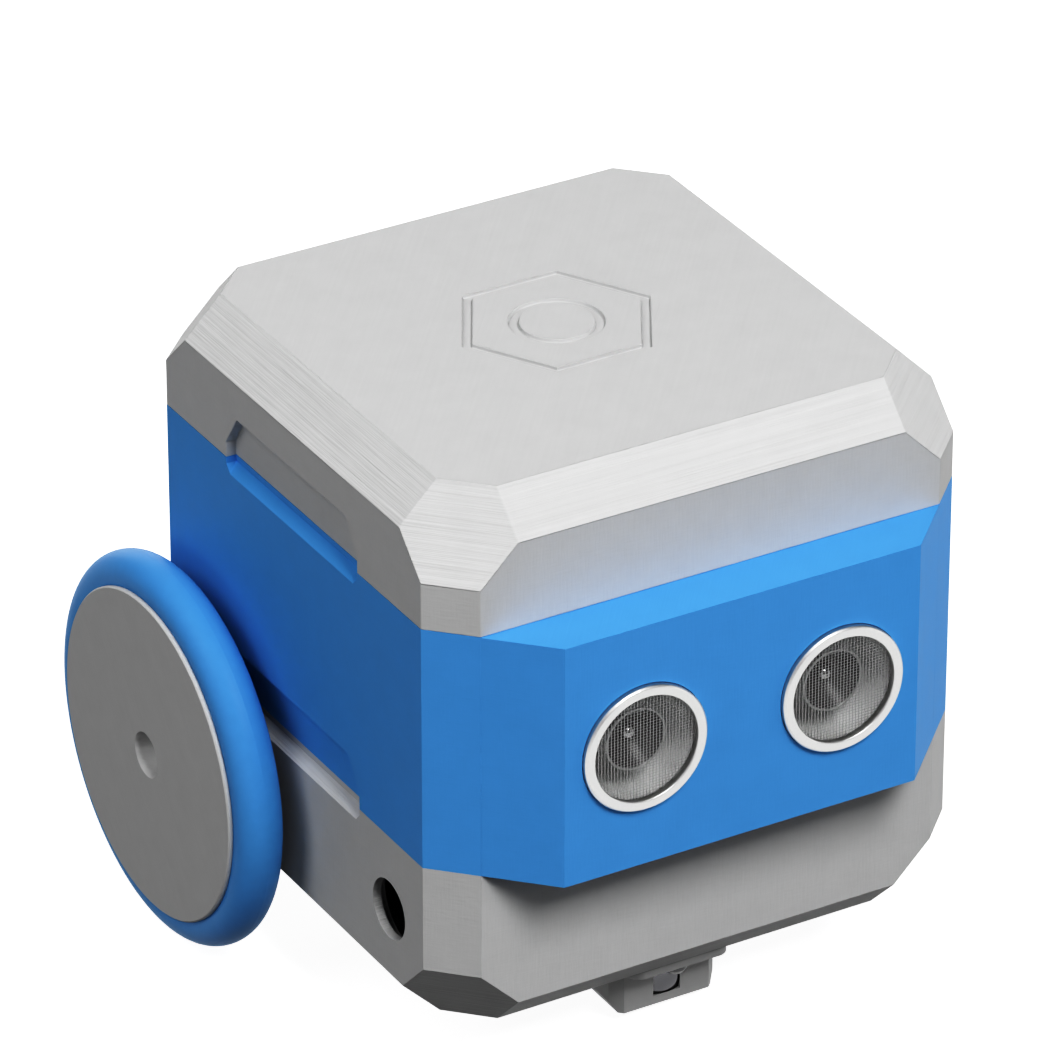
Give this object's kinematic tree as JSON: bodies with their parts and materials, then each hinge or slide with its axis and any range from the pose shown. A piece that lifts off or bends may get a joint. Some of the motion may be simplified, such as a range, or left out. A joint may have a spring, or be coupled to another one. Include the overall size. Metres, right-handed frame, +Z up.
{
  "type": "educational coding robot",
  "caption": "Small faceted cube robot on two driven wheels and a ball caster, with a twin ultrasonic sensor in a wedge-shaped face panel.",
  "frame": {"origin": "on the floor, under the middle of the whole robot", "axes": "+Z up, the face looks along -Y, parts named left are on the -X side, which is the left side seen from the front"},
  "size_m": [0.0872, 0.0878, 0.08],
  "materials": {
    "grey_shell": "satin, fine lines",
    "blue_shell": "satin, fine lines",
    "blue_tyre": "smooth",
    "sensor_metal": "satin",
    "sensor_gauze": "woven",
    "dark_plastic": "moulded",
    "circuit_board": "solder mask",
    "ivory_plastic": "moulded",
    "lead": "insulated",
    "battery_wrap": "film",
    "steel": "plated",
    "brass_gear": "cut",
    "magnet": "sintered",
    "winding": "enamelled",
    "caster_plastic": "moulded",
    "ball_steel": "polished"
  },
  "bodies": {
    "base": {"base_shell": "grey_shell", "main_board": "circuit_board", "main_board_screws": "steel", "controller_module": "steel", "board_chips": "dark_plastic", "buzzer": "dark_plastic", "board_sockets": "ivory_plastic", "sensor_socket": "ivory_plastic", "charging_socket": "steel", "power_switch": "dark_plastic", "battery_pack": "battery_wrap", "battery_cradle": "dark_plastic", "battery_lead": "lead", "line_sensor_board": "circuit_board", "line_sensors": "dark_plastic", "motor_magnets": "magnet", "idler_arbors": "steel", "motor_brackets": "steel", "motor_bracket_screws": "steel", "motor_leads": "lead", "left_gearbox_frame": "brass_gear", "right_gearbox_frame": "brass_gear", "left_motor_can": "steel", "right_motor_can": "steel", "caster_housing": "caster_plastic", "caster_screws": "steel"},
    "middle": {"middle_shell": "blue_shell", "face_panel": "blue_shell", "face_panel_screws": "steel", "sensor_board": "circuit_board", "sensor_board_screws": "steel", "left_sensor_can": "sensor_metal", "right_sensor_can": "sensor_metal", "left_sensor_mesh": "sensor_gauze", "right_sensor_mesh": "sensor_gauze", "left_sensor_cone": "dark_plastic", "right_sensor_cone": "dark_plastic", "sensor_chips": "dark_plastic", "sensor_lead": "lead", "sensor_plug": "ivory_plastic"},
    "cover": {"top_cover": "grey_shell"},
    "left_wheel": {"left_wheel_hub": "grey_shell", "left_tyre": "blue_tyre", "left_drive_shaft": "steel", "left_output_gear": "brass_gear"},
    "right_wheel": {"right_wheel_hub": "grey_shell", "right_tyre": "blue_tyre", "right_drive_shaft": "steel", "right_output_gear": "brass_gear"},
    "left_idler": {"left_idler_gear": "brass_gear"},
    "right_idler": {"right_idler_gear": "brass_gear"},
    "left_rotor": {"left_armature": "winding", "left_pinion": "brass_gear"},
    "right_rotor": {"right_armature": "winding", "right_pinion": "brass_gear"},
    "ball": {"caster_ball": "ball_steel"},
    "button": {"power_button": "blue_shell"}
  },
  "joints": [
    {"name": "left_wheel_spin", "type": "hinge", "parent": "base", "child": "left_wheel", "pos_m": [-0.0402, 0.01965, 0.0242], "axis": [1, 0, 0], "continuous": true},
    {"name": "right_wheel_spin", "type": "hinge", "parent": "base", "child": "right_wheel", "pos_m": [0.0402, 0.01965, 0.0242], "axis": [1, 0, 0], "continuous": true},
    {"name": "left_idler_spin", "type": "hinge", "parent": "base", "child": "left_idler", "pos_m": [-0.0276, 0.02305, 0.0242], "axis": [1, 0, 0], "continuous": true},
    {"name": "right_idler_spin", "type": "hinge", "parent": "base", "child": "right_idler", "pos_m": [0.0276, 0.02305, 0.0242], "axis": [1, 0, 0], "continuous": true},
    {"name": "left_motor_spin", "type": "hinge", "parent": "base", "child": "left_rotor", "pos_m": [-0.0158, 0.01965, 0.0242], "axis": [1, 0, 0], "continuous": true},
    {"name": "right_motor_spin", "type": "hinge", "parent": "base", "child": "right_rotor", "pos_m": [0.0158, 0.01965, 0.0242], "axis": [1, 0, 0], "continuous": true},
    {"name": "caster_roll", "type": "hinge", "parent": "base", "child": "ball", "pos_m": [0, -0.02244, 0.00476], "axis": [1, 0, 0], "continuous": true},
    {"name": "shell_lift", "type": "slide", "parent": "base", "child": "middle", "axis": [0, 0, 1], "range_m": [0, 0.04]},
    {"name": "cover_lift", "type": "slide", "parent": "middle", "child": "cover", "axis": [0, 0, 1], "range_m": [0, 0.025]},
    {"name": "button_press", "type": "slide", "parent": "base", "child": "button", "axis": [0, -1, 0], "range_m": [0, 0.0006], "stiffness_N_per_m": 400}
  ],
  "couplings": [
    {"joint": "left_idler_spin", "follows": "left_wheel_spin", "ratio": -2.4},
    {"joint": "right_idler_spin", "follows": "right_wheel_spin", "ratio": -2.4},
    {"joint": "left_motor_spin", "follows": "left_wheel_spin", "ratio": 5.76},
    {"joint": "right_motor_spin", "follows": "right_wheel_spin", "ratio": 5.76}
  ]
}
